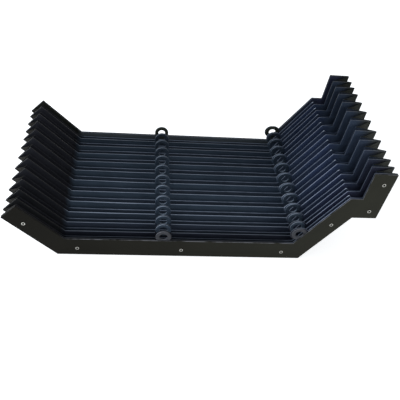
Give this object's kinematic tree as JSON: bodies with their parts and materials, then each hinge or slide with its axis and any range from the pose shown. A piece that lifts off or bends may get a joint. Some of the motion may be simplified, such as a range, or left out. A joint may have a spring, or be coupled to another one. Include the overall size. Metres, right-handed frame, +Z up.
{
  "type": "bellows cover",
  "caption": "Flat-fold bellows cover for a machine guide way: U-shaped channel of support frames in a folded sheet, with guide rings and end plates.",
  "frame": {"origin": "middle of the footprint, on the surface that the cover stands on", "axes": "+X across the channel towards the stepped wing, +Y along the extension towards the fixed back plate, +Z up out of the channel"},
  "size_m": [0.7, 0.3482, 0.221],
  "materials": {
    "plate_paint": "semi-matt black paint",
    "frame_sheet": "blue-black sheet plastic, satin",
    "ring_plastic": "dark grey moulded plastic, satin",
    "eyelet_metal": "nickel-plated, lightly worn",
    "cover_cloth": "coated woven cloth, blue-black"
  },
  "bodies": {
    "back_end": {"frame_01": "frame_sheet", "centre_ring_01": "ring_plastic", "corner_ring_01": "ring_plastic", "back_plate": "plate_paint", "back_eyelets": "eyelet_metal", "folded_cover": "cover_cloth"},
    "fold_02": {"frame_02": "frame_sheet", "centre_ring_02": "ring_plastic", "corner_ring_02": "ring_plastic"},
    "fold_03": {"frame_03": "frame_sheet", "centre_ring_03": "ring_plastic", "corner_ring_03": "ring_plastic"},
    "fold_04": {"frame_04": "frame_sheet", "centre_ring_04": "ring_plastic", "corner_ring_04": "ring_plastic"},
    "fold_05": {"frame_05": "frame_sheet", "centre_ring_05": "ring_plastic", "corner_ring_05": "ring_plastic"},
    "fold_06": {"frame_06": "frame_sheet", "centre_ring_06": "ring_plastic", "corner_ring_06": "ring_plastic"},
    "fold_07": {"frame_07": "frame_sheet", "centre_ring_07": "ring_plastic", "corner_ring_07": "ring_plastic"},
    "fold_08": {"frame_08": "frame_sheet", "centre_ring_08": "ring_plastic", "corner_ring_08": "ring_plastic"},
    "fold_09": {"frame_09": "frame_sheet", "centre_ring_09": "ring_plastic", "corner_ring_09": "ring_plastic"},
    "fold_10": {"frame_10": "frame_sheet", "centre_ring_10": "ring_plastic", "corner_ring_10": "ring_plastic"},
    "fold_11": {"frame_11": "frame_sheet", "centre_ring_11": "ring_plastic", "corner_ring_11": "ring_plastic"},
    "fold_12": {"frame_12": "frame_sheet", "centre_ring_12": "ring_plastic", "corner_ring_12": "ring_plastic"},
    "front_end": {"frame_13": "frame_sheet", "centre_ring_13": "ring_plastic", "corner_ring_13": "ring_plastic", "front_plate": "plate_paint", "front_eyelets": "eyelet_metal"}
  },
  "joints": [
    {"name": "bay_01_slide", "type": "slide", "parent": "back_end", "child": "fold_02", "axis": [0, -1, 0], "range_m": [-0.0188, 0.0074], "deforming": ["folded_cover"]},
    {"name": "bay_02_slide", "type": "slide", "parent": "fold_02", "child": "fold_03", "axis": [0, -1, 0], "range_m": [-0.01948, 0.00767]},
    {"name": "bay_03_slide", "type": "slide", "parent": "fold_03", "child": "fold_04", "axis": [0, -1, 0], "range_m": [-0.02131, 0.00839]},
    {"name": "bay_04_slide", "type": "slide", "parent": "fold_04", "child": "fold_05", "axis": [0, -1, 0], "range_m": [-0.0237, 0.00933]},
    {"name": "bay_05_slide", "type": "slide", "parent": "fold_05", "child": "fold_06", "axis": [0, -1, 0], "range_m": [-0.0259, 0.0102]},
    {"name": "bay_06_slide", "type": "slide", "parent": "fold_06", "child": "fold_07", "axis": [0, -1, 0], "range_m": [-0.02721, 0.01071]},
    {"name": "bay_07_slide", "type": "slide", "parent": "fold_07", "child": "fold_08", "axis": [0, -1, 0], "range_m": [-0.02726, 0.01073]},
    {"name": "bay_08_slide", "type": "slide", "parent": "fold_08", "child": "fold_09", "axis": [0, -1, 0], "range_m": [-0.02629, 0.01035]},
    {"name": "bay_09_slide", "type": "slide", "parent": "fold_09", "child": "fold_10", "axis": [0, -1, 0], "range_m": [-0.02435, 0.00959]},
    {"name": "bay_10_slide", "type": "slide", "parent": "fold_10", "child": "fold_11", "axis": [0, -1, 0], "range_m": [-0.02144, 0.00844]},
    {"name": "bay_11_slide", "type": "slide", "parent": "fold_11", "child": "fold_12", "axis": [0, -1, 0], "range_m": [-0.01756, 0.00691]},
    {"name": "bay_12_slide", "type": "slide", "parent": "fold_12", "child": "front_end", "axis": [0, -1, 0], "range_m": [-0.0127, 0.005]}
  ],
  "couplings": [
    {"joint": "bay_02_slide", "follows": "bay_01_slide", "ratio": 1.0362},
    {"joint": "bay_03_slide", "follows": "bay_01_slide", "ratio": 1.1335},
    {"joint": "bay_04_slide", "follows": "bay_01_slide", "ratio": 1.2608},
    {"joint": "bay_05_slide", "follows": "bay_01_slide", "ratio": 1.3778},
    {"joint": "bay_06_slide", "follows": "bay_01_slide", "ratio": 1.4473},
    {"joint": "bay_07_slide", "follows": "bay_01_slide", "ratio": 1.4501},
    {"joint": "bay_08_slide", "follows": "bay_01_slide", "ratio": 1.3985},
    {"joint": "bay_09_slide", "follows": "bay_01_slide", "ratio": 1.2952},
    {"joint": "bay_10_slide", "follows": "bay_01_slide", "ratio": 1.1403},
    {"joint": "bay_11_slide", "follows": "bay_01_slide", "ratio": 0.93373},
    {"joint": "bay_12_slide", "follows": "bay_01_slide", "ratio": 0.67553}
  ]
}
